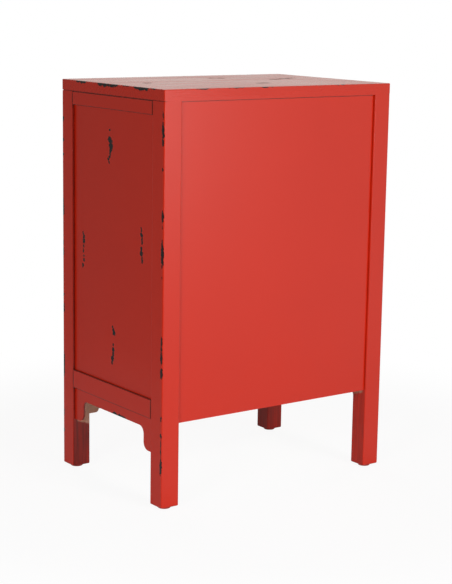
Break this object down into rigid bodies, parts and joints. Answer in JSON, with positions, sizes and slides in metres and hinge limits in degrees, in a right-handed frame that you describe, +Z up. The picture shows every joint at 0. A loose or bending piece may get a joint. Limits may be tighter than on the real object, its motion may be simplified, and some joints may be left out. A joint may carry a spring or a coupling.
{
  "type": "nightstand",
  "caption": "Red lacquered nightstand with square legs, recessed panels, carved aprons, a drawer above hinged doors, ring pulls and a flat top for bedside things.",
  "frame": {"origin": "on the floor, under the middle of the box round the whole piece, ring pulls included", "axes": "+Z up, +Y to the back, -Y to the front with the drawer and doors, +X to the right seen from the front"},
  "size_m": [0.44, 0.3084, 0.644],
  "materials": {
    "red_lacquer": "satin lacquer, rubbed through to black at the edges",
    "bare_wood": "bare",
    "antique_brass": "aged",
    "strike_steel": "zinc plated",
    "catch_plastic": "matte",
    "glide_plastic": "sprayed over with the lacquer"
  },
  "bodies": {
    "case": {"back_panel": "red_lacquer", "door_catch": "catch_plastic", "drawer_divider_rail": "red_lacquer", "drawer_runner_left": "bare_wood", "drawer_runner_right": "bare_wood", "drawer_stops": "bare_wood", "floor_board": "bare_wood", "foot_glides": "glide_plastic", "front_apron": "red_lacquer", "front_bottom_rail": "red_lacquer", "front_top_rail": "red_lacquer", "hinge_pins_left": "antique_brass", "hinge_pins_right": "antique_brass", "leg_front_left": "red_lacquer", "leg_front_right": "red_lacquer", "leg_hinge_leaves_left": "antique_brass", "leg_hinge_leaves_right": "antique_brass", "leg_rear_left": "red_lacquer", "leg_rear_right": "red_lacquer", "rear_bottom_rail": "bare_wood", "rear_top_rail": "bare_wood", "side_apron_left": "red_lacquer", "side_apron_right": "red_lacquer", "side_bottom_rail_left": "red_lacquer", "side_bottom_rail_right": "red_lacquer", "side_panel_left": "red_lacquer", "side_panel_right": "red_lacquer", "side_top_rail_left": "red_lacquer", "side_top_rail_right": "red_lacquer", "top_dowels": "bare_wood", "top_panel": "red_lacquer"},
    "drawer": {"drawer_front": "red_lacquer", "drawer_side_left": "bare_wood", "drawer_side_right": "bare_wood", "drawer_back": "bare_wood", "drawer_bottom": "bare_wood", "drawer_pull_rosette": "antique_brass", "drawer_pull_eye": "antique_brass"},
    "drawer_ring": {"drawer_pull_ring": "antique_brass"},
    "left_door": {"door_hinge_stile_left": "red_lacquer", "door_meeting_stile_left": "red_lacquer", "door_top_rail_left": "red_lacquer", "door_bottom_rail_left": "red_lacquer", "door_panel_left": "red_lacquer", "door_hinge_leaves_left": "antique_brass", "door_pull_rosette_left": "antique_brass", "door_pull_eye_left": "antique_brass", "door_strike_plate_left": "strike_steel"},
    "left_door_ring": {"door_pull_ring_left": "antique_brass"},
    "right_door": {"door_hinge_stile_right": "red_lacquer", "door_meeting_stile_right": "red_lacquer", "door_top_rail_right": "red_lacquer", "door_bottom_rail_right": "red_lacquer", "door_panel_right": "red_lacquer", "door_hinge_leaves_right": "antique_brass", "door_pull_rosette_right": "antique_brass", "door_pull_eye_right": "antique_brass", "door_strike_plate_right": "strike_steel"},
    "right_door_ring": {"door_pull_ring_right": "antique_brass"}
  },
  "joints": [
    {"name": "drawer_slide", "type": "slide", "parent": "case", "child": "drawer", "axis": [0, -1, 0], "range_m": [0, 0.18]},
    {"name": "left_door_hinge", "type": "hinge", "parent": "case", "child": "left_door", "pos_m": [-0.18725, -0.1452, 0.32], "axis": [0, 0, -1], "range_deg": [0, 180]},
    {"name": "right_door_hinge", "type": "hinge", "parent": "case", "child": "right_door", "pos_m": [0.18725, -0.1452, 0.32], "axis": [0, 0, 1], "range_deg": [0, 180]},
    {"name": "drawer_ring_swing", "type": "hinge", "parent": "drawer", "child": "drawer_ring", "pos_m": [0, -0.1493, 0.556], "axis": [-1, 0, 0], "range_deg": [-10, 170]},
    {"name": "left_door_ring_swing", "type": "hinge", "parent": "left_door", "child": "left_door_ring", "pos_m": [-0.01875, -0.1493, 0.3265], "axis": [-1, 0, 0], "range_deg": [-10, 170]},
    {"name": "right_door_ring_swing", "type": "hinge", "parent": "right_door", "child": "right_door_ring", "pos_m": [0.01875, -0.1493, 0.3265], "axis": [-1, 0, 0], "range_deg": [-10, 170]}
  ]
}
